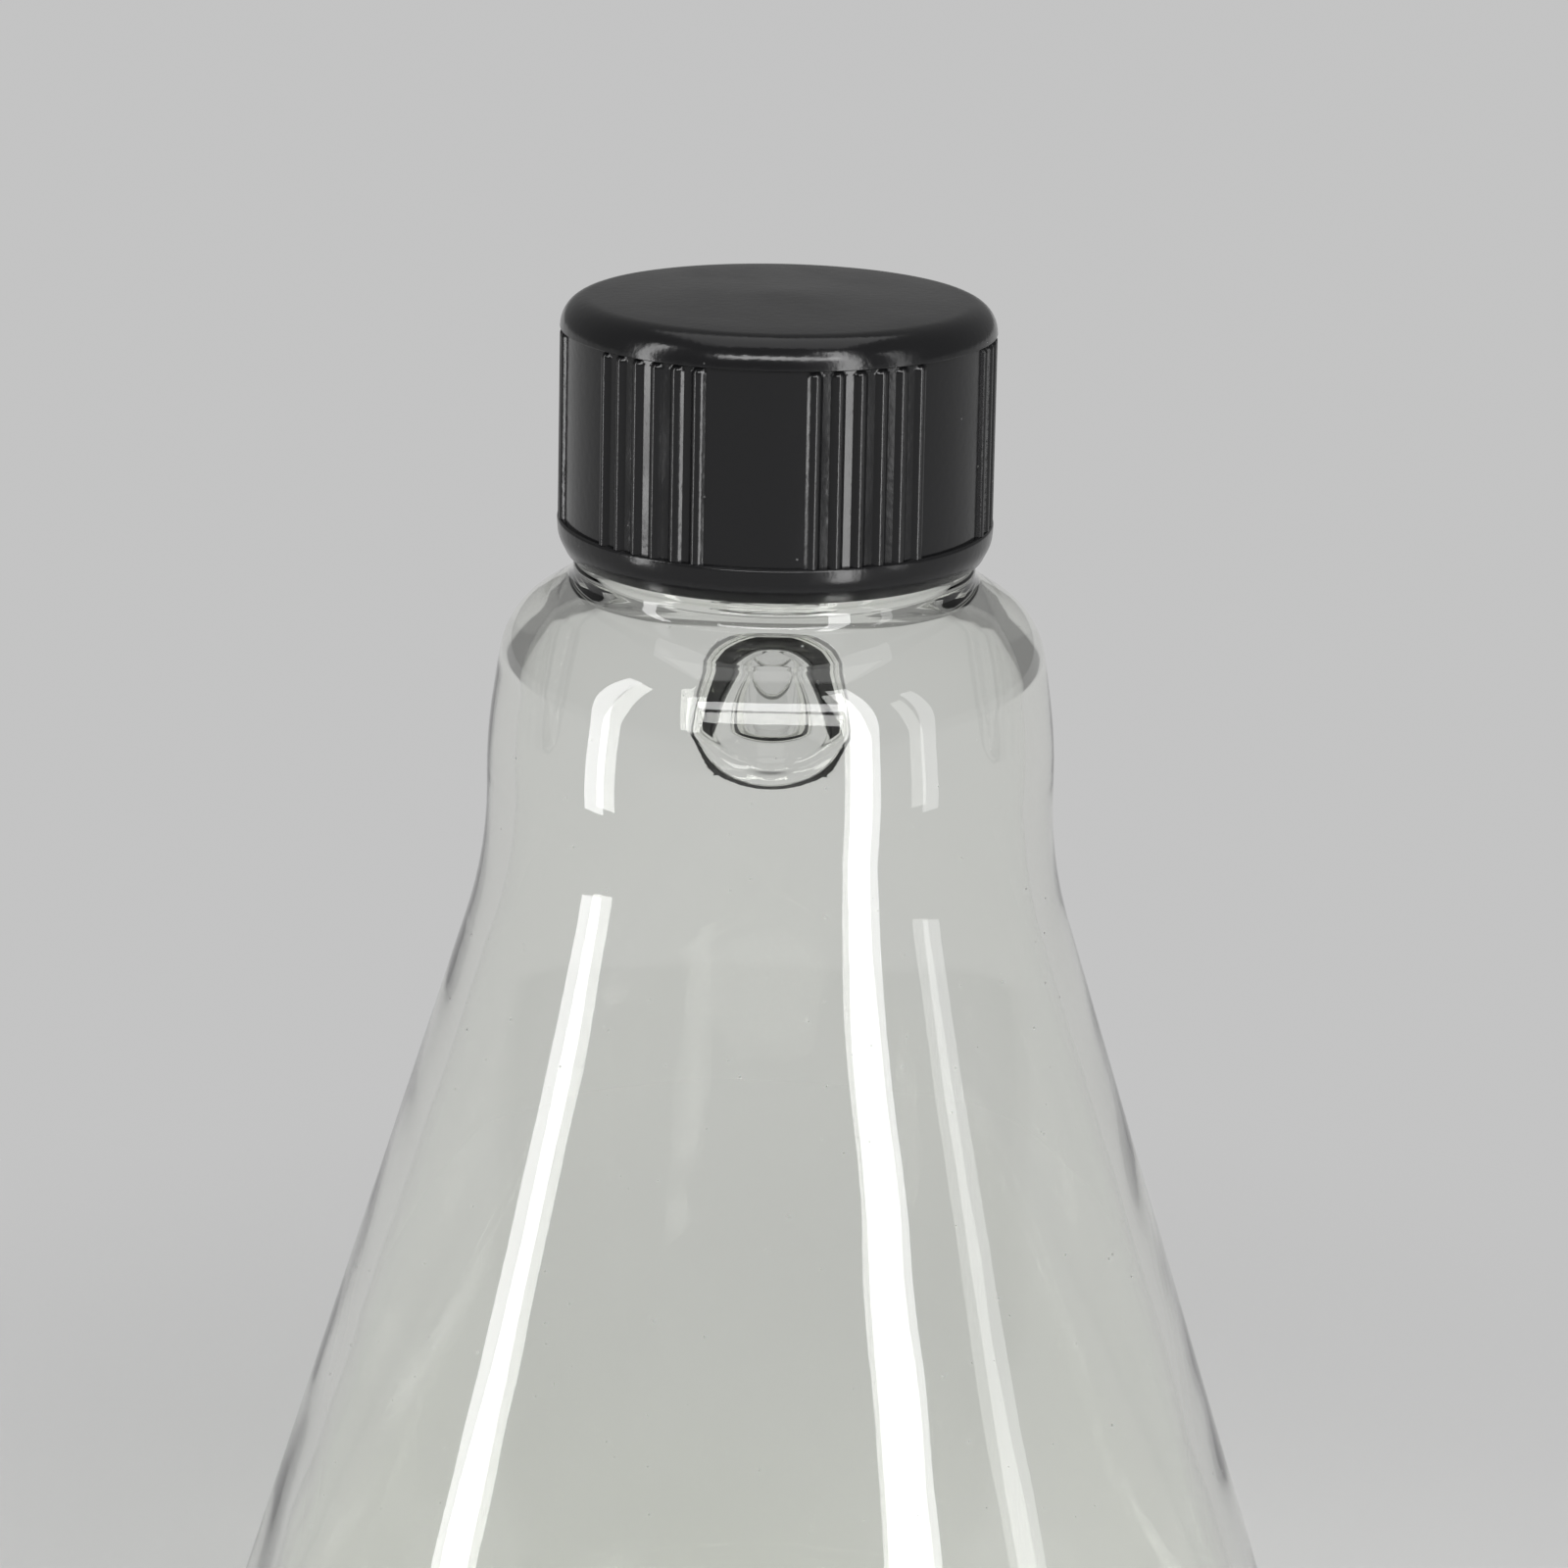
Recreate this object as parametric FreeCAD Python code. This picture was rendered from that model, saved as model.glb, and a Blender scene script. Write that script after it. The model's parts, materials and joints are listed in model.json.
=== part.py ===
import FreeCAD, Part
import math
import os

# Conical heavy-wall vacuum flask with a side arm and a ribbed screw cap.
# Millimetres, +Z up. The origin is the centre of the base, on the surface that the flask
# stands on. The side arm points along +Y.

# ---- flask body, outside ----
BODY_OD = 137.0            # widest diameter, at the heel
HEEL_R = 14.0              # outside radius of the heel
CONE_HALF_ANGLE = 17.85    # degrees from the axis to the cone wall
NECK_OD = 54.9
NECK_ROOT_R = 48.0         # sweep radius where cone and neck meet
NECK_STRAIGHT = 12.0       # cone and neck corner to the start of the shoulder taper
TAPER_DROP_R = 1.85        # how much the neck radius falls over the shoulder taper
TAPER_HEIGHT = 11.6
TAPER_BLEND_R = 50.0
SHOULDER_R = 7.6           # outside radius of the rounded shoulder
SHOULDER_RISE = 4.1        # height of the sloping top of the shoulder
WALL = 2.8                 # glass wall of the cone, neck and shoulder
BASE_WALL = 3.4            # glass at the middle of the base
PUSH_UP = 1.8              # rise of the middle of the base above the standing ring
STAND_RING_R = 50.0        # inner radius of the flat ring that the flask stands on
STAND_BLEND_R = 60.0

# ---- neck finish ----
FINISH_ROOT_D = 35.1       # diameter between the threads
FINISH_H = 20.8            # lip down to the top of the collar
COLLAR_PROUD = 0.45        # the collar stands this far over the thread crest
COLLAR_H = 1.7
COLLAR_EDGE_R = 0.6
COLLAR_BLEND_R = 1.6
FINISH_WALL = 2.85         # glass between the mouth and the thread root
MOUTH_BLEND_R = 5.0        # inside, where the mouth opens into the neck
LIP_OUT_R = 0.9
LIP_IN_R = 1.2

# ---- thread shared by the neck and the cap ----
PITCH = 25.4 / 6.0
THREAD_H = 1.1             # ridge height over the root
NECK_RIDGE_BASE = 2.2      # width of the glass ridge at its root
NECK_RIDGE_CREST = 1.0
NECK_RIDGE_TURNS = 2.2
NECK_RIDGE_START = 3.6     # lip down to the middle of the ridge's upper end
NECK_RIDGE_END_DEG = -90.0 # where the upper end lies, turned from +X towards +Y
CAP_RIDGE_BASE = 1.5
CAP_RIDGE_CREST = 0.7
CAP_RIDGE_TURNS = 2.4
CREST_GAP = 0.35           # radial clearance from each crest to the other part
RIDGE_SINK = 0.35          # how far a ridge's foot runs into its own wall

# ---- side arm ----
ARM_BORE = 6.0
ARM_WALL = 2.6             # of the plain tube and of each serration's crest
BARB_VALLEY_WALL = 1.5     # at the foot of each serration
ARM_TIP_WALL = 1.1
ARM_RISE = 6.0             # cone and neck corner up to the arm's axis
ARM_TIP_INSET = 1.5        # arm's end back from the widest part of the body
ARM_FLARE_PROUD = 2.4      # foot of the weld, beyond the tube all round
ARM_FLARE_R = 3.2          # sweep of the weld fillet
ARM_PLAIN = 12.0           # plain tube beyond the weld fillet
BARB_COUNT = 3
BARB_FILLET_R = 0.9
BARB_FOOT_R = 0.45
ARM_TIP_EDGE_R = 0.7
ARM_MOUTH_EDGE_R = 0.35
ARM_SEAT_GAP = 0.02        # glass seal between the flare and the neck

# ---- liner ----
BACKING_T = 1.5
FACING_T = 0.3
LINER_SIDE_GAP = 0.35      # clearance to the cap's bore, all round

# ---- cap ----
CAP_WALL = 1.55            # bore to the crest of the ribs, at their lower end
CAP_DRAFT = 0.25           # radius lost from there up to the rim
CAP_LOW_GAP = 0.4          # lower edge to the top of the collar
CAP_ROOF_T = 2.2
CAP_CROWN = 0.5            # rise of the top's middle over its rim
CAP_TOP_EDGE_R = 2.1
RIM_H = 2.5                # top rim down to the recess
BEAD_H = 4.2               # lower edge up to the recess
RECESS = 0.45              # depth of the panels and of the valleys between the ribs
BEAD_PROUD = 0.1           # the lower bead stands this far over the ribs
BEAD_TAPER = 0.8           # radius lost from the bead to the lower edge
BEAD_TOP_R = 0.3
BEAD_LOW_R = 0.5
RIM_LOW_R = 0.25
CAP_MOUTH_CHAMFER = 0.35
RIB_GROUPS = 6
RIBS_PER_GROUP = 6
RIB_PITCH_DEG = 6.5
RIB_R = 0.62               # radius of each half-round rib
RIB_END_GAP = 0.25         # rib's end to the edge of the recess
FIRST_GROUP_DEG = 24.35    # middle of the first rib group, turned from -Y towards +X

os.makedirs("parts", exist_ok=True)
V = FreeCAD.Vector
Z_AXIS = V(0, 0, 1)


def rounded_wire(corners):
    """A closed wire in the XZ plane through (radius, height, fillet radius) corners."""
    count = len(corners)
    edges = []
    joints = []
    for i, (x, z, fillet) in enumerate(corners):
        here = V(x, 0, z)
        before = V(corners[i - 1][0], 0, corners[i - 1][1]) - here
        after = V(corners[(i + 1) % count][0], 0, corners[(i + 1) % count][1]) - here
        if fillet == 0:
            joints.append((here, here, None))
            continue
        before.normalize()
        after.normalize()
        half = before.getAngle(after) / 2
        reach = fillet / math.tan(half)
        start = here + before * reach
        end = here + after * reach
        toward = before + after
        toward.normalize()
        middle = here + toward * (fillet / math.sin(half) - fillet)
        joints.append((start, end, middle))
    for i, (start, end, middle) in enumerate(joints):
        if middle is not None:
            edges.append(Part.Arc(start, middle, end).toShape())
        following = joints[(i + 1) % count][0]
        if end.distanceToPoint(following) > 1e-6:
            edges.append(Part.LineSegment(end, following).toShape())
    return Part.Wire(edges)


def turned(corners):
    """The solid of revolution about Z of a rounded outline."""
    return Part.Face(rounded_wire(corners)).revolve(V(0, 0, 0), Z_AXIS, 360)


def ridge(radius, height, base, crest, turns, upper_end_z, upper_end_deg, outward):
    """A trapezoid ridge along a right-hand helix, down from the middle of its upper end."""
    sign = 1 if outward else -1
    foot = radius - sign * RIDGE_SINK
    foot_half = base / 2 * (1 + RIDGE_SINK / height) - crest / 2 * RIDGE_SINK / height
    top = radius + sign * height
    low_z = upper_end_z - turns * PITCH
    spine = Part.makeHelix(PITCH, turns * PITCH, radius)
    spine.translate(V(0, 0, low_z))
    section = Part.makePolygon([
        V(foot, 0, low_z - foot_half),
        V(top, 0, low_z - crest / 2),
        V(top, 0, low_z + crest / 2),
        V(foot, 0, low_z + foot_half),
        V(foot, 0, low_z - foot_half),
    ])
    solid = Part.Wire(spine.Edges).makePipeShell([section], True, True)
    solid.rotate(V(0, 0, 0), Z_AXIS, upper_end_deg - turns * 360)
    return solid


def save(shape, node):
    shape.exportStep("parts/" + node + ".step")


# ---- heights that follow from the sizes above ----
SLOPE = math.tan(math.radians(CONE_HALF_ANGLE))
SECANT = 1 / math.cos(math.radians(CONE_HALF_ANGLE))
BODY_R = BODY_OD / 2
NECK_R = NECK_OD / 2
FINISH_R = FINISH_ROOT_D / 2
CREST_R = FINISH_R + THREAD_H
COLLAR_R = CREST_R + COLLAR_PROUD
MOUTH_R = FINISH_R - FINISH_WALL
cone_foot_r = BODY_R - HEEL_R + HEEL_R * (SECANT + SLOPE)
neck_corner_z = (cone_foot_r - NECK_R) / SLOPE
taper_z = neck_corner_z + NECK_STRAIGHT
shoulder_r = NECK_R - TAPER_DROP_R
shoulder_z = taper_z + TAPER_HEIGHT
collar_low_z = shoulder_z + SHOULDER_RISE
collar_top_z = collar_low_z + COLLAR_H
lip_z = collar_top_z + FINISH_H

# ---- inside of the glass, one wall in from the outside ----
inner_foot_z = PUSH_UP + BASE_WALL
inner_neck_r = NECK_R - WALL
inner_foot_r = cone_foot_r - WALL * SECANT - inner_foot_z * SLOPE
inner_corner_z = (inner_foot_r - inner_neck_r) / SLOPE + inner_foot_z
taper_angle = math.atan2(TAPER_DROP_R, TAPER_HEIGHT)
roof_run = shoulder_r - COLLAR_R
roof_angle = math.atan2(roof_run, SHOULDER_RISE)
inner_taper_z = taper_z - WALL * math.tan(taper_angle / 2)
turn = roof_angle - taper_angle
miter = WALL / math.cos(turn / 2)
inner_shoulder_r = shoulder_r - miter * math.cos(taper_angle + turn / 2)
inner_shoulder_z = shoulder_z - miter * math.sin(taper_angle + turn / 2)
mouth_foot_z = inner_shoulder_z + (inner_shoulder_r - MOUTH_R) / math.tan(roof_angle)

# ---- glass flask ----
outside = [
    (0, PUSH_UP, 0),
    (STAND_RING_R, 0, STAND_BLEND_R),
    (cone_foot_r, 0, HEEL_R),
    (NECK_R, neck_corner_z, NECK_ROOT_R),
    (NECK_R, taper_z, TAPER_BLEND_R),
    (shoulder_r, shoulder_z, SHOULDER_R),
    (COLLAR_R, collar_low_z, COLLAR_BLEND_R),
    (COLLAR_R, collar_top_z, COLLAR_EDGE_R),
    (FINISH_R, collar_top_z, COLLAR_EDGE_R),
]
flask = turned(outside + [
    (FINISH_R, lip_z, LIP_OUT_R),
    (MOUTH_R, lip_z, LIP_IN_R),
    (MOUTH_R, mouth_foot_z, MOUTH_BLEND_R),
    (inner_shoulder_r, inner_shoulder_z, SHOULDER_R - WALL),
    (inner_neck_r, inner_taper_z, TAPER_BLEND_R - WALL),
    (inner_neck_r, inner_corner_z, NECK_ROOT_R + WALL),
    (inner_foot_r, inner_foot_z, HEEL_R - WALL),
    (0, inner_foot_z, 0),
])
neck_ridge_z = lip_z - NECK_RIDGE_START
flask = flask.fuse(ridge(FINISH_R, THREAD_H, NECK_RIDGE_BASE, NECK_RIDGE_CREST,
                         NECK_RIDGE_TURNS, neck_ridge_z, NECK_RIDGE_END_DEG, True))

# ---- side arm: turned about Z, then laid along +Y at its height on the neck ----
arm_z = neck_corner_z + ARM_RISE
arm_length = BODY_R - ARM_TIP_INSET
bore_r = ARM_BORE / 2
arm_r = bore_r + ARM_WALL
valley_r = bore_r + BARB_VALLEY_WALL
tip_r = bore_r + ARM_TIP_WALL
flare_r = arm_r + ARM_FLARE_PROUD
tip_edge_r = min(ARM_TIP_EDGE_R, 0.6 * ARM_TIP_WALL)
mouth_edge_r = min(ARM_MOUTH_EDGE_R, 0.3 * ARM_TIP_WALL)
flare_foot_y = math.sqrt(NECK_R ** 2 - flare_r ** 2)
flare_end_y = NECK_R + ARM_FLARE_R
barb_start_y = flare_end_y + ARM_PLAIN
barb_pitch = (arm_length - barb_start_y) / BARB_COUNT
outline = [
    (bore_r, 0, 0),
    (flare_r, 0, 0),
    (flare_r, flare_foot_y, 0),
    (arm_r, flare_end_y, ARM_FLARE_R),
]
for i in range(BARB_COUNT):
    outline.append((arm_r, barb_start_y + i * barb_pitch, BARB_FILLET_R))
    if i < BARB_COUNT - 1:
        outline.append((valley_r, barb_start_y + (i + 1) * barb_pitch, BARB_FOOT_R))
outline.append((tip_r, arm_length, tip_edge_r))
outline.append((bore_r, arm_length, mouth_edge_r))
arm = turned(outline)
arm.rotate(V(0, 0, 0), V(1, 0, 0), -90)
arm.translate(V(0, 0, arm_z))
core = turned([(r + ARM_SEAT_GAP if r else 0, z, fillet) for r, z, fillet in outside]
              + [(FINISH_R + ARM_SEAT_GAP, lip_z, 0), (0, lip_z, 0)])
arm = arm.cut(core)
port = Part.makeCylinder(bore_r, NECK_OD, V(0, 0, arm_z), V(0, 1, 0))
flask = flask.cut(port)

# ---- liner: rubber backing over a thin facing that rests on the lip ----
cap_bore_r = CREST_R + CREST_GAP
liner_r = cap_bore_r - LINER_SIDE_GAP
facing_top_z = lip_z + FACING_T
roof_z = facing_top_z + BACKING_T
facing = Part.makeCylinder(liner_r, FACING_T, V(0, 0, lip_z))
backing = Part.makeCylinder(liner_r, BACKING_T, V(0, 0, facing_top_z))

# ---- cap shell ----
rim_z = roof_z + CAP_ROOF_T
cap_low_z = collar_top_z + CAP_LOW_GAP
cap_r = cap_bore_r + CAP_WALL
rib_top_z = rim_z - RIM_H
rib_low_z = cap_low_z + BEAD_H
rim_r = cap_r - CAP_DRAFT
bead_r = cap_r + BEAD_PROUD
cap = turned([
    (0, rim_z + CAP_CROWN, 0),
    (rim_r, rim_z, CAP_TOP_EDGE_R),
    (rim_r, rib_top_z, RIM_LOW_R),
    (rim_r - RECESS, rib_top_z, 0),
    (cap_r - RECESS, rib_low_z, 0),
    (bead_r, rib_low_z, BEAD_TOP_R),
    (bead_r - BEAD_TAPER, cap_low_z, BEAD_LOW_R),
    (cap_bore_r + CAP_MOUTH_CHAMFER, cap_low_z, 0),
    (cap_bore_r, cap_low_z + CAP_MOUTH_CHAMFER, 0),
    (cap_bore_r, roof_z, 0),
    (0, roof_z, 0),
])
cap = cap.fuse(ridge(cap_bore_r, THREAD_H, CAP_RIDGE_BASE, CAP_RIDGE_CREST,
                     CAP_RIDGE_TURNS, neck_ridge_z - PITCH / 2, NECK_RIDGE_END_DEG, False))

# ---- cap ribs, in groups with a smooth panel between each two ----
rib_low = rib_low_z + RIB_END_GAP + RIB_R
rib_high = rib_top_z - RIB_END_GAP - RIB_R
ribs = []
for group in range(RIB_GROUPS):
    middle_deg = FIRST_GROUP_DEG + group * 360 / RIB_GROUPS
    for i in range(RIBS_PER_GROUP):
        turn_deg = middle_deg + (i - (RIBS_PER_GROUP - 1) / 2) * RIB_PITCH_DEG
        low_centre = V(0, -(cap_r - RIB_R), rib_low)
        high_centre = V(0, -(rim_r - RIB_R), rib_high)
        bar = Part.makeCylinder(RIB_R, low_centre.distanceToPoint(high_centre),
                                low_centre, high_centre - low_centre)
        bar = bar.fuse([Part.makeSphere(RIB_R, low_centre), Part.makeSphere(RIB_R, high_centre)])
        bar.rotate(V(0, 0, 0), Z_AXIS, turn_deg)
        ribs.append(bar.removeSplitter())
cap = cap.fuse(ribs)

save(flask.removeSplitter(), "flask_body")
save(arm.removeSplitter(), "side_arm")
save(cap.removeSplitter(), "screw_cap")
save(backing, "liner_backing")
save(facing, "liner_facing")
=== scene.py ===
import json
import math

import bmesh
import bpy
from mathutils import Matrix, Vector


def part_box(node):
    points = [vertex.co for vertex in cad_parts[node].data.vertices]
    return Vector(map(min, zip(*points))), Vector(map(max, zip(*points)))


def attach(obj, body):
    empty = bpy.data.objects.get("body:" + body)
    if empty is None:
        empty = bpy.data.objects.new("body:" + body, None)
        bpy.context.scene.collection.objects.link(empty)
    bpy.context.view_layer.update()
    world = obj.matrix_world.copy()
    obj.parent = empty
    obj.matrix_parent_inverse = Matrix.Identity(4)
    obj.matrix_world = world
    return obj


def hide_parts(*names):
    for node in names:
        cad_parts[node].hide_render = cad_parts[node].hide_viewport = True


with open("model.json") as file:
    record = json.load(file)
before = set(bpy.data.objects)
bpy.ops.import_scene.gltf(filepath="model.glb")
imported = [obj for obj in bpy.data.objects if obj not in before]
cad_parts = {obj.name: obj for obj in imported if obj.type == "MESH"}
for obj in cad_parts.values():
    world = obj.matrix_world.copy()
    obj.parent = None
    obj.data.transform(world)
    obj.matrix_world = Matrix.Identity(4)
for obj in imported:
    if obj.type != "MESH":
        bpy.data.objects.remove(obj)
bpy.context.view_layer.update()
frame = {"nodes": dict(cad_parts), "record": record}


# ---------------------------------------------------------------------------
# Glass flask. One piece of borosilicate glass: a blown conical body with a
# heavy wall, a moulded screw neck, and a drawn hose arm sealed on at the back
# in the flame, so that body and arm are a single skin inside and out.
# ---------------------------------------------------------------------------

GLASS_COLUMNS = 144        # 2.5 degrees each
THREAD_TOP = 0.0036        # lip down to the middle of the thread's upper end
THREAD_PITCH = 0.0254 / 6
THREAD_TURNS = 2.2
THREAD_H = 0.0011
THREAD_HALF_WIDTH = 0.0012
THREAD_FLANK = 0.0006
THREAD_FADE = 0.12         # the part of a turn in which each end of a thread rises
LIP_CURVE = 0.0012         # the thread keeps this far below the lip
FLARE_R = 0.0088           # foot of the arm's flame seal
FUNNEL_R = 0.0078          # the arm's bore, opened out into the neck
PLAIN_TUBE = 0.0152        # neck wall to the first serration
BARBS = 3
BARB_VALLEY_WALL = 0.0015
ARM_TIP_WALL = 0.0011

mounts = {m["name"]: m for m in frame["record"]["mounts"]}
arm_axis_z = mounts["arm_bore"]["pos_m"][2]
bore_r = mounts["arm_bore"]["dims"]["r_mm"] / 1000
arm_r = mounts["hose_arm"]["dims"]["r_mm"] / 1000
lip_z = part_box("flask_body")[1].z
arm_tip_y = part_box("side_arm")[1].y

# The wall's outline, up the outside, over the lip and down the inside:
# radius, height, fillet radius, steps round the fillet, steps along to the next.
glass_outline = [
    (0, 0.0018, 0, 0, 4),
    (0.0220, 0.0016, 0.080, 6, 5),
    (0.0490, 0, 0.045, 6, 3),
    (0.07372, 0, 0.0140, 18, 44),
    (0.02745, 0.14367, 0.048, 12, 1),
    (0.02745, 0.15567, 0.050, 8, 5),
    (0.0256, 0.16727, 0.0076, 12, 2),
    (0.0191, 0.17137, 0.0016, 6, 1),
    (0.0191, 0.17307, 0.0006, 6, 1),
    (0.01755, 0.17307, 0.0006, 6, 66),
    (0.01755, lip_z, 0.0009, 6, 1),
    (0.0147, lip_z, 0.0012, 8, 10),
    (0.0147, 0.170837, 0.0050, 10, 2),
    (0.023034, 0.16558, 0.0076, 12, 5),
    (0.02465, 0.155454, 0.0472, 8, 1),
    (0.02465, 0.14323, 0.0508, 12, 40),
    (0.06910, 0.0052, 0.0112, 16, 10),
    (0, 0.0052, 0, 0, 0),
]


def clear_selection():
    if bpy.context.object and bpy.context.object.mode != "OBJECT":
        bpy.ops.object.mode_set(mode="OBJECT")
    bpy.ops.object.select_all(action="DESELECT")


def make_active(piece):
    clear_selection()
    piece.select_set(True)
    bpy.context.view_layer.objects.active = piece


def follow(outline):
    """The points of an outline of straight runs and true arcs, as (radius, height)."""
    points = []
    for i, (r, z, fillet, arc_steps, _) in enumerate(outline):
        here = Vector((r, z))
        if fillet:
            back = (Vector(outline[i - 1][:2]) - here).normalized()
            ahead = (Vector(outline[i + 1][:2]) - here).normalized()
            half = back.angle(ahead) / 2
            centre = here + (back + ahead).normalized() * (fillet / math.sin(half))
            first = here + back * (fillet / math.tan(half)) - centre
            last = here + ahead * (fillet / math.tan(half)) - centre
            sweep = first.angle_signed(last)
            arc = []
            for s in range(arc_steps + 1):
                a = -sweep * s / arc_steps
                arc.append(centre + Vector((first.x * math.cos(a) - first.y * math.sin(a),
                                            first.x * math.sin(a) + first.y * math.cos(a))))
        else:
            arc = [here]
        if points:
            start, steps = points[-1], outline[i - 1][4]
            points += [start.lerp(arc[0], s / steps) for s in range(1, steps)]
        points += arc
    return points


def lathe(name, points, columns):
    """A closed shell: one vertex is drawn round the outline, then spun about Z."""
    clear_selection()
    bpy.ops.mesh.primitive_plane_add(size=0.01, location=(0, 0, 0))
    piece = bpy.context.object
    piece.name = piece.data.name = name
    bpy.ops.object.mode_set(mode="EDIT")
    bpy.ops.mesh.select_mode(type="VERT")
    bpy.ops.mesh.select_all(action="SELECT")
    bpy.ops.mesh.merge(type="CENTER")
    bpy.ops.transform.translate(value=(points[0].x, 0, points[0].y))
    for before, after in zip(points, points[1:]):
        bpy.ops.mesh.extrude_vertices_move(
            TRANSFORM_OT_translate={"value": (after.x - before.x, 0, after.y - before.y)})
    bpy.ops.mesh.select_all(action="SELECT")
    bpy.ops.mesh.spin(steps=columns, angle=2 * math.pi, center=(0, 0, 0), axis=(0, 0, 1))
    bpy.ops.mesh.select_all(action="SELECT")
    bpy.ops.mesh.remove_doubles(threshold=1e-6)
    bpy.ops.mesh.normals_make_consistent(inside=False)
    bpy.ops.object.mode_set(mode="OBJECT")
    return piece


def choose(piece, kind, test):
    """In edit mode, selects the edges or faces that pass the test."""
    bpy.ops.mesh.select_mode(type={"edges": "EDGE", "faces": "FACE"}[kind])
    mesh = bmesh.from_edit_mesh(piece.data)
    for part in (mesh.verts, mesh.edges, mesh.faces):
        for item in part:
            item.select = False
    for item in getattr(mesh, kind):
        if test(item):
            item.select_set(True)
    mesh.select_flush_mode()
    bmesh.update_edit_mesh(piece.data)


def wall_radius(wall, z):
    for (z0, r0), (z1, r1) in zip(wall, wall[1:]):
        if z <= z1:
            return r0 + (r1 - r0) * max(0, (z - z0) / (z1 - z0))
    return wall[-1][1]


def on_wall(wall, x, z):
    return math.sqrt(wall_radius(wall, z) ** 2 - x * x)


def on_ridge(point, upper_end_z, turns, half_width, flank):
    """0 to 1: how high a point of the wall stands on the ridge that winds down from its end."""
    turn = (math.atan2(point.y, point.x) + math.pi / 2) / (2 * math.pi) % 1
    for lap in range(math.ceil(turns) + 1):
        wound = lap + 1 - turn if turn else lap
        offset = abs(point.z - (upper_end_z - wound * THREAD_PITCH))
        fade = min(1, wound / THREAD_FADE, (turns - wound) / THREAD_FADE)
        if offset < half_width and fade > 0:
            rise = min(1, (half_width - offset) / flank)
            return rise * rise * (3 - 2 * rise) * math.sin(fade * math.pi / 2)
    return 0


def set_radius(vertex, r):
    k = r / math.hypot(vertex.co.x, vertex.co.y)
    vertex.co.x *= k
    vertex.co.y *= k


# Both sides of the neck's wall, as (height, radius) from low to high.
glass_points = follow(glass_outline)
lip = max(range(len(glass_points)), key=lambda i: glass_points[i].y)
outer_wall = sorted((p.y, p.x) for p in glass_points[:lip] if 0.130 < p.y < 0.166)
inner_wall = sorted((p.y, p.x) for p in glass_points[lip:] if 0.130 < p.y < 0.164)

flask = lathe("glass_flask", glass_points, GLASS_COLUMNS)

# The moulded thread: a rounded rib that winds down the neck and fades out at both ends.
for v in flask.data.vertices:
    r = math.hypot(v.co.x, v.co.y)
    if 0.0170 < r < 0.0180 and 0.1736 < v.co.z < lip_z - LIP_CURVE:
        set_radius(v, r + THREAD_H * on_ridge(v.co, lip_z - THREAD_TOP, THREAD_TURNS,
                                              THREAD_HALF_WIDTH, THREAD_FLANK))

# The hose arm: a ring drawn out along the arm, over its serrations, round the tip and
# back down the bore.  (radius, distance along +Y, fillet radius, steps, steps)
neck_y = wall_radius(outer_wall, arm_axis_z)
inner_y = wall_radius(inner_wall, arm_axis_z)
plain_end = neck_y + PLAIN_TUBE
barb = (arm_tip_y - plain_end) / BARBS
seal_end = neck_y + 0.0065
arm_outline = [(FLARE_R, neck_y, 0, 0, 1),
               (0.0080, neck_y + 0.0001, 0.0015, 6, 4),
               (arm_r, neck_y + 0.0050, 0.0060, 8, 6)]
for i in range(BARBS):
    arm_outline.append((arm_r, plain_end + i * barb, 0.0009, 5, 4))
    if i < BARBS - 1:
        arm_outline.append((bore_r + BARB_VALLEY_WALL, plain_end + (i + 1) * barb, 0.00045, 4, 1))
arm_outline += [(bore_r + ARM_TIP_WALL, arm_tip_y, 0.00066, 6, 1),
                (bore_r, arm_tip_y, 0.00033, 4, 18),
                (bore_r, seal_end, 0.0060, 8, 4),
                (0.0061, inner_y, 0.0020, 8, 1),
                (FUNNEL_R, inner_y, 0, 0, 0)]
arm_points = follow(arm_outline)

# The patch of the neck's mesh, outside and inside, that makes way for the arm's foot.
PATCH_HALF_ANGLE = 10 * 2 * math.pi / GLASS_COLUMNS + 0.001
PATCH_LOW, PATCH_HIGH = 0.1375, 0.1620
SAME_WALL = 0.0009


def in_patch(face, wall):
    c = face.calc_center_median()
    r = math.hypot(c.x, c.y)
    return (c.y > 0 and abs(math.atan2(c.x, c.y)) < PATCH_HALF_ANGLE
            and PATCH_LOW < c.z < PATCH_HIGH and abs(r - wall_radius(wall, c.z)) < SAME_WALL)


bpy.context.view_layer.objects.active = flask
bpy.ops.object.mode_set(mode="EDIT")
choose(flask, "faces", lambda f: in_patch(f, outer_wall) or in_patch(f, inner_wall))
bpy.ops.mesh.delete(type="FACE")
ring_count = sum(e.is_boundary for e in bmesh.from_edit_mesh(flask.data).edges) // 2

clear_selection()
bpy.ops.mesh.primitive_circle_add(vertices=ring_count, radius=arm_points[0].x,
                                  location=(0, arm_points[0].y, arm_axis_z),
                                  rotation=(math.pi / 2, 0, 0))
arm = bpy.context.object
bpy.ops.object.transform_apply(location=True, rotation=True, scale=True)
bpy.ops.object.mode_set(mode="EDIT")
bpy.ops.mesh.select_mode(type="EDGE")
bpy.ops.mesh.select_all(action="SELECT")
for before, after in zip(arm_points, arm_points[1:]):
    bpy.ops.mesh.extrude_region_move(
        TRANSFORM_OT_translate={"value": (0, after.y - before.y, 0)})
    k = after.x / before.x
    bpy.ops.transform.resize(value=(k, 1, k), center_override=(0, after.y, arm_axis_z))
bpy.ops.object.mode_set(mode="OBJECT")

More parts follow.
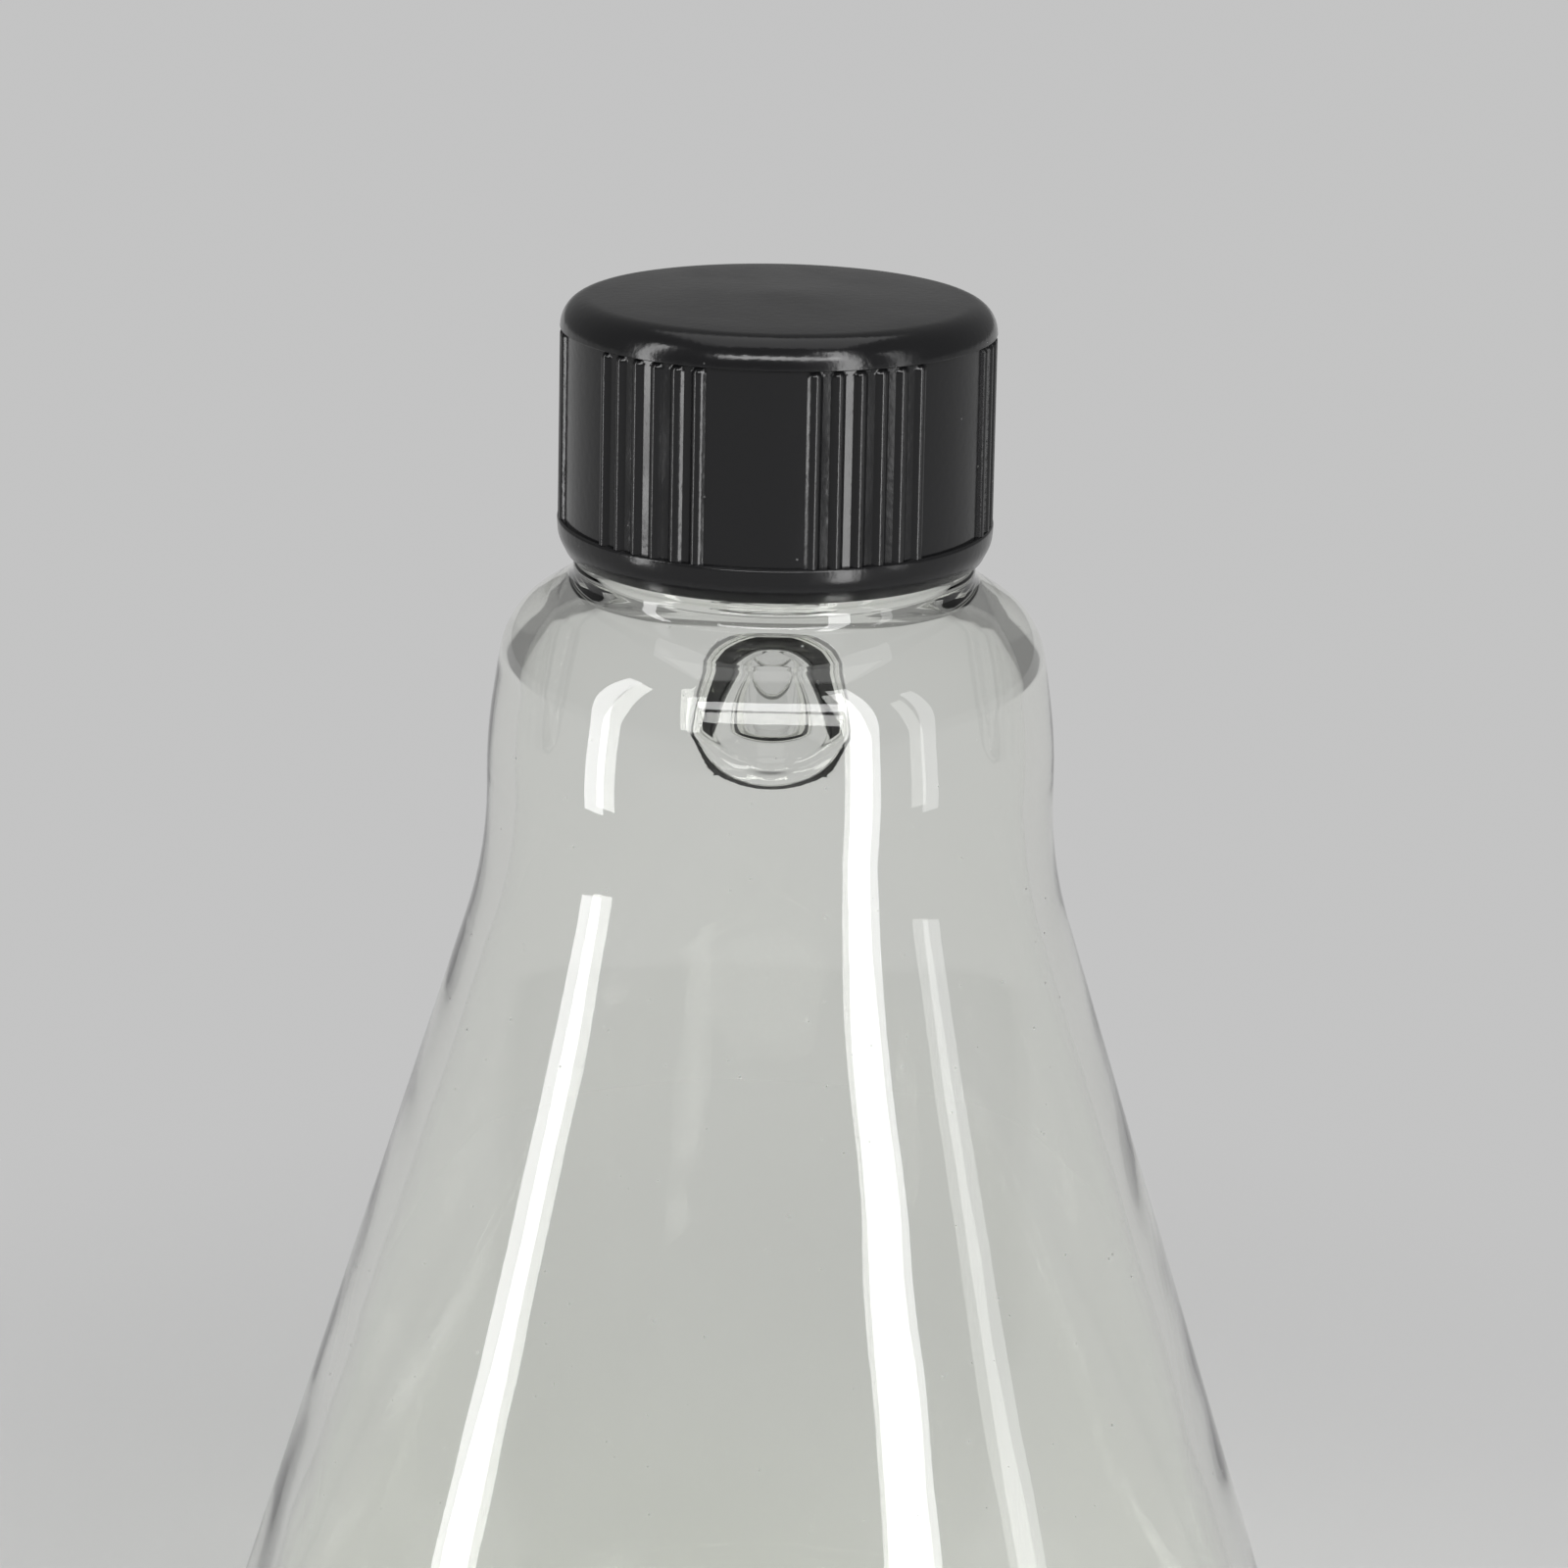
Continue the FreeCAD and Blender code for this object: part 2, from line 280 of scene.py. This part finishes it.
# The foot of the arm, and its bore's flare, take the round of the neck.
FOOT_REACH, FLARE_REACH = 0.0058, 0.0080
for v in arm.data.vertices:
    out = math.hypot(v.co.x, v.co.z - arm_axis_z)
    if v.co.y > seal_end:
        continue
    if out > arm_r - 0.0001 and v.co.y > neck_y - 0.0001:
        follow_neck = max(0, 1 - (v.co.y - neck_y) / FOOT_REACH) ** 2
        v.co.y += follow_neck * (on_wall(outer_wall, v.co.x, v.co.z) - neck_y)
    else:
        follow_neck = max(0, 1 - (v.co.y - inner_y) / FLARE_REACH) ** 2
        v.co.y += follow_neck * (on_wall(inner_wall, v.co.x, v.co.z) - inner_y)

clear_selection()
arm.select_set(True)
flask.select_set(True)
bpy.context.view_layer.objects.active = flask
bpy.ops.object.join()
bpy.ops.object.mode_set(mode="EDIT")
for wall in (outer_wall, inner_wall):
    def by_this_wall(edge):
        c = (edge.verts[0].co + edge.verts[1].co) / 2
        return edge.is_boundary and abs(c.y - on_wall(wall, c.x, c.z)) < 0.0012
    choose(flask, "edges", by_this_wall)
    bpy.ops.mesh.bridge_edge_loops(type="SINGLE", number_cuts=5, interpolation="LINEAR")
    mesh = bmesh.from_edit_mesh(flask.data)
    for v in mesh.verts:
        if v.select:
            v.co.y = on_wall(wall, v.co.x, v.co.z)
    bmesh.update_edit_mesh(flask.data)
bpy.ops.mesh.select_all(action="SELECT")
bpy.ops.mesh.remove_doubles(threshold=1e-6)
bpy.ops.mesh.normals_make_consistent(inside=False)
bpy.ops.object.mode_set(mode="OBJECT")
make_active(flask)
bpy.ops.object.shade_smooth()

# ---- glass: clear, faintly olive where it is thick, hand-worked and a little dusty ----


def add_node(tree, kind, x, y, inputs=None, **settings):
    node = tree.nodes.new(kind)
    node.location = (x, y)
    for name, value in settings.items():
        setattr(node, name, value)
    for key, value in (inputs or {}).items():
        if isinstance(value, bpy.types.NodeSocket):
            tree.links.new(value, node.inputs[key])
        else:
            node.inputs[key].default_value = value
    return node


def new_material(name, diffuse):
    material = bpy.data.materials.new(name)
    material.use_nodes = True
    material.diffuse_color = (*diffuse, 1)
    tree = material.node_tree
    tree.nodes.clear()
    output = add_node(tree, "ShaderNodeOutputMaterial", 900, 0)
    return material, tree, output


def new_group(name, inputs, outputs):
    tree = bpy.data.node_groups.new(name, "ShaderNodeTree")
    for label, value in inputs:
        socket = tree.interface.new_socket(label, in_out="INPUT", socket_type="NodeSocketFloat")
        socket.default_value = value
    for label, kind in outputs:
        tree.interface.new_socket(label, in_out="OUTPUT", socket_type=kind)
    given = add_node(tree, "NodeGroupInput", -900, 0)
    return tree, given, add_node(tree, "NodeGroupOutput", 700, 0)


def place_group(tree, group, x, y, inputs):
    node = tree.nodes.new("ShaderNodeGroup")
    node.node_tree = group
    node.location = (x, y)
    for key, value in inputs.items():
        node.inputs[key].default_value = value
    return node


# Dust: sparse round specks, as a mask.
dust, given, out = new_group("dust", [("Scale", 900.0), ("Size", 0.1), ("Amount", 0.5)],
                             [("Mask", "NodeSocketFloat")])
where = add_node(dust, "ShaderNodeTexCoord", -900, 300)
cells = add_node(dust, "ShaderNodeTexVoronoi", -600, 200, {
    "Vector": where.outputs["Object"], "Scale": given.outputs["Scale"], "Randomness": 1.0})
speck = add_node(dust, "ShaderNodeMath", -300, 250, {
    0: cells.outputs["Distance"], 1: given.outputs["Size"]}, operation="LESS_THAN")
parts = add_node(dust, "ShaderNodeSeparateColor", -300, 50, {"Color": cells.outputs["Color"]})
kept = add_node(dust, "ShaderNodeMath", -100, 50, {
    0: parts.outputs["Red"], 1: given.outputs["Amount"]}, operation="LESS_THAN")
both = add_node(dust, "ShaderNodeMath", 200, 150, {
    0: speck.outputs[0], 1: kept.outputs[0]}, operation="MULTIPLY")
dust.links.new(both.outputs[0], out.inputs["Mask"])

# Waves: a soft unevenness of a surface, as a bumped normal.
waves, given, out = new_group(
    "waves", [("Scale", 60.0), ("Detail", 1.0), ("Strength", 0.1), ("Distance", 0.001)],
    [("Normal", "NodeSocketVector")])
where = add_node(waves, "ShaderNodeTexCoord", -900, 300)
swell = add_node(waves, "ShaderNodeTexNoise", -500, 200, {
    "Vector": where.outputs["Object"], "Scale": given.outputs["Scale"],
    "Detail": given.outputs["Detail"]})
bump = add_node(waves, "ShaderNodeBump", 0, 150, {
    "Strength": given.outputs["Strength"], "Distance": given.outputs["Distance"],
    "Height": swell.outputs["Fac"]})
waves.links.new(bump.outputs["Normal"], out.inputs["Normal"])

glass, tree, output = new_material("borosilicate_glass", (0.85, 0.88, 0.82))
unevenness = place_group(tree, waves, -300, -200, {
    "Scale": 45.0, "Detail": 1.0, "Strength": 0.10, "Distance": 0.002})
specks = place_group(tree, dust, -600, 100, {"Scale": 420.0, "Size": 0.055, "Amount": 0.22})
haze = add_node(tree, "ShaderNodeMapRange", -300, 150, {
    "Value": specks.outputs["Mask"], "To Min": 0.006, "To Max": 0.45})
clear = add_node(tree, "ShaderNodeBsdfPrincipled", 100, 100, {
    "Base Color": (0.99, 0.995, 0.985, 1), "Roughness": haze.outputs["Result"], "IOR": 1.473,
    "Transmission Weight": 1.0, "Normal": unevenness.outputs["Normal"]})
lets_light_by = add_node(tree, "ShaderNodeBsdfTransparent", 100, -500, {
    "Color": (0.88, 0.89, 0.87, 1)})
path = add_node(tree, "ShaderNodeLightPath", 100, 500)
mixed = add_node(tree, "ShaderNodeMixShader", 500, 100, {
    0: path.outputs["Is Shadow Ray"], 1: clear.outputs[0], 2: lets_light_by.outputs[0]})
tint = add_node(tree, "ShaderNodeVolumeAbsorption", 500, -300, {
    "Color": (0.80, 0.83, 0.60, 1), "Density": 16.0})
tree.links.new(mixed.outputs[0], output.inputs["Surface"])
tree.links.new(tint.outputs[0], output.inputs["Volume"])
flask.data.materials.append(glass)
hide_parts("flask_body", "side_arm")
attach(flask, "flask")


# ---------------------------------------------------------------------------
# Screw cap. Compression-moulded black phenolic, with ribs in six groups for
# the fingers and smooth panels between them; it screws down on the neck.
# ---------------------------------------------------------------------------

CAP_COLUMNS = 720          # half a degree each, so that every rib lies on whole columns
CAP_BORE_R = 0.0190
CAP_R = 0.02055            # crest of the ribs, at their foot
CAP_DRAFT = 0.00025        # radius lost from there up to the rim
CAP_CROWN = 0.0005
CAP_LIFT = 0.00045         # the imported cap's lower edge up to this one's
RIM_H = 0.00285
BEAD_H = 0.0034
BEAD_PROUD = 0.0001
MOUTH_CHAMFER = 0.00035
RECESS = 0.00045           # the panels lie this far inside the ribs' crests
RIB_R = 0.00062
RIB_HEAD = 0.0006          # middle of each rib's ball end, below the rim
RIB_GROUPS, RIBS = 6, 6
RIB_PITCH = math.radians(6)
FIRST_GROUP = math.radians(24.5)   # its middle, turned from -Y towards +X
CAP_RIDGE_TURNS = 2.4
CAP_RIDGE_HALF_WIDTH = 0.0008
CAP_RIDGE_FLANK = 0.0005

roof_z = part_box("liner_backing")[1].z
crown_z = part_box("screw_cap")[1].z
cap_low_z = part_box("screw_cap")[0].z + CAP_LIFT
rim_r = CAP_R - CAP_DRAFT
step_z = crown_z - CAP_CROWN - RIM_H
rib_head_z = step_z - RIB_HEAD
bead_z = cap_low_z + BEAD_H


def panel_r(z):
    return rim_r - RECESS + CAP_DRAFT * (step_z - z) / (step_z - bead_z)


def across_ribs(angle):
    """How far an angle round the cap lies from the middle of the nearest rib."""
    group_step = 2 * math.pi / RIB_GROUPS
    in_group = (angle - FIRST_GROUP + group_step / 2) % group_step - group_step / 2
    rib = max(0, min(RIBS - 1, round(in_group / RIB_PITCH + (RIBS - 1) / 2)))
    return in_group - (rib - (RIBS - 1) / 2) * RIB_PITCH


# radius, height, fillet radius, steps round the fillet, steps along to the next
cap = lathe("ribbed_cap", follow([
    (0, crown_z, 0, 0, 6),
    (rim_r, crown_z - CAP_CROWN, 0.0028, 12, 1),
    (rim_r, step_z, 0.00022, 3, 1),
    (rim_r - RECESS, step_z, 0, 0, 7),
    (panel_r(rib_head_z), rib_head_z, 0, 0, 5),
    (CAP_R - RECESS, bead_z, 0, 0, 1),
    (CAP_R + BEAD_PROUD, bead_z, 0.0003, 4, 1),
    (CAP_R, cap_low_z + 0.0016, 0.0030, 5, 1),
    (CAP_R - 0.0008, cap_low_z, 0.0004, 5, 1),
    (CAP_BORE_R + MOUTH_CHAMFER, cap_low_z, 0, 0, 1),
    (CAP_BORE_R, cap_low_z + MOUTH_CHAMFER, 0, 0, 52),
    (CAP_BORE_R, roof_z, 0, 0, 6),
    (0, roof_z, 0, 0, 0)]), CAP_COLUMNS)

# The half-round ribs rise from the panels, with a ball end under the rim, and run down
# on to the bead. The cap's own thread winds down its bore, between the turns of the neck's.
for v in cap.data.vertices:
    r = math.hypot(v.co.x, v.co.y)
    if bead_z - 1e-6 < v.co.z < step_z + 1e-6 and abs(r - panel_r(v.co.z)) < 1e-6:
        aside = r * across_ribs(math.atan2(v.co.x, -v.co.y))
        beyond = max(0, v.co.z - rib_head_z)
        ball = RIB_R ** 2 - aside ** 2 - beyond ** 2
        if ball > 0:
            set_radius(v, max(r, r + RECESS - RIB_R + math.sqrt(ball)))
    elif abs(r - CAP_BORE_R) < 1e-6 and v.co.z < roof_z - 0.0005:
        set_radius(v, r - THREAD_H * on_ridge(v.co, lip_z - THREAD_TOP - THREAD_PITCH / 2,
                                              CAP_RIDGE_TURNS, CAP_RIDGE_HALF_WIDTH,
                                              CAP_RIDGE_FLANK))
make_active(cap)
bpy.ops.object.shade_smooth_by_angle(angle=math.radians(38))

# ---- phenolic: glossy black, clouded in its polish, finely grained and a little dusty ----

phenolic, tree, output = new_material("black_phenolic", (0.012, 0.012, 0.013))
grain = place_group(tree, waves, -300, -200, {
    "Scale": 1400.0, "Detail": 3.0, "Strength": 0.12, "Distance": 0.0002})
specks = place_group(tree, dust, -600, 300, {"Scale": 600.0, "Size": 0.06, "Amount": 0.25})
where = add_node(tree, "ShaderNodeTexCoord", -1100, 0)
cloud = add_node(tree, "ShaderNodeTexNoise", -800, 0, {
    "Vector": where.outputs["Object"], "Scale": 160.0, "Detail": 5.0})
polish = add_node(tree, "ShaderNodeMapRange", -500, 0, {
    "Value": cloud.outputs["Fac"], "From Min": 0.3, "From Max": 0.7,
    "To Min": 0.12, "To Max": 0.22})
colour = add_node(tree, "ShaderNodeMix", -200, 300, {
    0: specks.outputs["Mask"], 6: (0.006, 0.006, 0.0065, 1), 7: (0.09, 0.09, 0.09, 1)},
    data_type="RGBA")
moulded = add_node(tree, "ShaderNodeBsdfPrincipled", 300, 100, {
    "Base Color": colour.outputs[2], "Roughness": polish.outputs["Result"], "IOR": 1.5,
    "Specular IOR Level": 0.35, "Normal": grain.outputs["Normal"]})
tree.links.new(moulded.outputs[0], output.inputs["Surface"])
cap.data.materials.append(phenolic)
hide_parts("screw_cap")
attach(cap, "cap")


# ---------------------------------------------------------------------------
# Liner. A soft rubber backing disc with a thin white fluoropolymer facing that
# seals on the lip; both lie loose in the cap's roof.
# ---------------------------------------------------------------------------

for node_name, slot_name, shade, roughness in (
        ("liner_backing", "liner_rubber", (0.16, 0.15, 0.14), 0.7),
        ("liner_facing", "liner_facing", (0.78, 0.77, 0.73), 0.4)):
    disc = frame["nodes"][node_name]
    stuff, tree, output = new_material(node_name + "_stuff", shade)
    grain = place_group(tree, waves, -300, -200, {
        "Scale": 900.0, "Detail": 3.0, "Strength": 0.15, "Distance": 0.0002})
    where = add_node(tree, "ShaderNodeTexCoord", -1100, 0)
    cloud = add_node(tree, "ShaderNodeTexNoise", -800, 0, {
        "Vector": where.outputs["Object"], "Scale": 120.0, "Detail": 4.0})
    darker = [c * 0.88 for c in shade]
    lighter = [min(1, c * 1.1) for c in shade]
    colour = add_node(tree, "ShaderNodeMix", -200, 300, {
        0: cloud.outputs["Fac"], 6: (*darker, 1), 7: (*lighter, 1)}, data_type="RGBA")
    body = add_node(tree, "ShaderNodeBsdfPrincipled", 300, 100, {
        "Base Color": colour.outputs[2], "Roughness": roughness,
        "Normal": grain.outputs["Normal"]})
    tree.links.new(body.outputs[0], output.inputs["Surface"])
    if len(disc.data.materials):
        disc.data.materials[0] = stuff
    else:
        disc.data.materials.append(stuff)


# ---------------------------------------------------------------------------
# Studio. A plain pale floor, an even sky, tall strip lamps on both sides of the
# camera, a level bar lamp in front and a soft lamp above.
# ---------------------------------------------------------------------------

FLOOR_R = 12
FLOOR_DROP = 0.0004        # keeps the floor off the base's standing ring
SKY_LEVEL = 0.22

clear_selection()
bpy.ops.mesh.primitive_circle_add(vertices=96, radius=FLOOR_R, fill_type="NGON",
                                  location=(0, 0, -FLOOR_DROP))
floor = bpy.context.object
floor.name = "floor"
bpy.ops.object.mode_set(mode="EDIT")
bpy.ops.mesh.select_mode(type="FACE")
bpy.ops.mesh.select_all(action="SELECT")
bpy.ops.mesh.inset(thickness=FLOOR_R - 1)
bpy.ops.object.mode_set(mode="OBJECT")

# Diffuse paint round the flask, lit by the lamps, where its shadow falls; further out the floor
# glows as bright as it is seen, with painted shade that dims the glow towards the horizon.
pale, tree, output = new_material("pale_floor", (0.6, 0.6, 0.6))
paint = add_node(tree, "ShaderNodeBsdfDiffuse", 0, 100, {"Color": (0.60, 0.60, 0.60, 1)})
path = add_node(tree, "ShaderNodeLightPath", -600, 500)
seen = add_node(tree, "ShaderNodeMath", -400, 500, {
    0: path.outputs["Is Camera Ray"], 1: path.outputs["Is Glossy Ray"]}, operation="MAXIMUM")
seen = add_node(tree, "ShaderNodeMath", -200, 500, {
    0: seen.outputs[0], 1: path.outputs["Is Transmission Ray"]}, operation="MAXIMUM")
shine = add_node(tree, "ShaderNodeMapRange", 0, 500, {
    "Value": seen.outputs[0], "To Min": 0.3, "To Max": 0.55})
where = add_node(tree, "ShaderNodeTexCoord", -600, 0)
reach = add_node(tree, "ShaderNodeVectorMath", -400, 0, {0: where.outputs["Object"]},
                 operation="LENGTH")
# painted shade: the floor's glow fades from full to 0.4 of its level between 2.6 m and 11 m out
falls = add_node(tree, "ShaderNodeMapRange", -200, 250, {
    "Value": reach.outputs["Value"], "From Min": 2.6, "From Max": 11.0,
    "To Min": 1.0, "To Max": 0.40}, interpolation_type="SMOOTHSTEP")
level = add_node(tree, "ShaderNodeMath", 100, 350, {
    0: shine.outputs["Result"], 1: falls.outputs["Result"]}, operation="MULTIPLY")
glow = add_node(tree, "ShaderNodeEmission", 300, 400, {
    "Color": (1, 1, 1, 1), "Strength": level.outputs[0]})
far = add_node(tree, "ShaderNodeMapRange", -200, 0, {
    "Value": reach.outputs["Value"], "From Min": 0.10, "From Max": 0.27},
    interpolation_type="SMOOTHSTEP")
ground = add_node(tree, "ShaderNodeMixShader", 500, 100, {
    0: far.outputs["Result"], 1: paint.outputs[0], 2: glow.outputs[0]})
tree.links.new(ground.outputs[0], output.inputs["Surface"])
floor.data.materials.append(pale)

world = bpy.data.worlds.new("studio")
bpy.context.scene.world = world
world.use_nodes = True
sky = world.node_tree.nodes["Background"]
sky.inputs["Color"].default_value = (1, 1, 1, 1)
sky.inputs["Strength"].default_value = SKY_LEVEL


def lamp(name, place, aim, width, height, power):
    light = bpy.data.lights.new(name, "AREA")
    light.shape = "RECTANGLE"
    light.size, light.size_y, light.energy = width, height, power
    holder = bpy.data.objects.new(name, light)
    holder.location = place
    holder.rotation_euler = (Vector(aim) - Vector(place)).to_track_quat("-Z", "Y").to_euler()
    bpy.context.scene.collection.objects.link(holder)
    holder.visible_camera = False


def strip_lamp(name, degrees, distance, height, width, power):
    """An upright strip that faces the flask, turned round it from the camera's side."""
    a = math.radians(degrees)
    place = (distance * math.sin(a), -distance * math.cos(a), height)
    lamp(name, place, (0, 0, height), width, 0.72, power)


strip_lamp("strip_right", 36, 0.40, 0.365, 0.086, 1.75)
strip_lamp("strip_left", -71.5, 0.62, 0.37, 0.10, 2.0)
strip_lamp("strip_far_right", 65, 0.75, 0.37, 0.095, 0.72)
lamp("bar_in_front", (0, -0.57, 0.56), (0, 0, 0.16), 0.72, 0.13, 3.0)
lamp("soft_above", (0, 0.2, 1.6), (0, 0.1, 0), 1.3, 1.3, 5.5)

CAMERA_PLACE = (0, -0.300, 0.25281)
PITCH_DOWN, YAW, ROLL = 0.3293, 0.0045, 0.0210   # radians
lens = bpy.data.cameras.new("camera")
camera = bpy.data.objects.new("camera", lens)
bpy.context.scene.collection.objects.link(camera)
lens.sensor_width = 36
lens.lens = 74.807325
lens.clip_start = 0.01
ahead = Vector((math.sin(YAW) * math.cos(PITCH_DOWN), math.cos(YAW) * math.cos(PITCH_DOWN),
                -math.sin(PITCH_DOWN)))
level_right = Vector((math.cos(YAW), -math.sin(YAW), 0))
level_up = level_right.cross(ahead)
right = level_right * math.cos(ROLL) + level_up * math.sin(ROLL)
up = level_up * math.cos(ROLL) - level_right * math.sin(ROLL)
camera.matrix_world = Matrix((right, up, -ahead)).transposed().to_4x4()
camera.location = CAMERA_PLACE
bpy.context.scene.camera = camera

bpy.context.scene.view_settings.view_transform = "Standard"
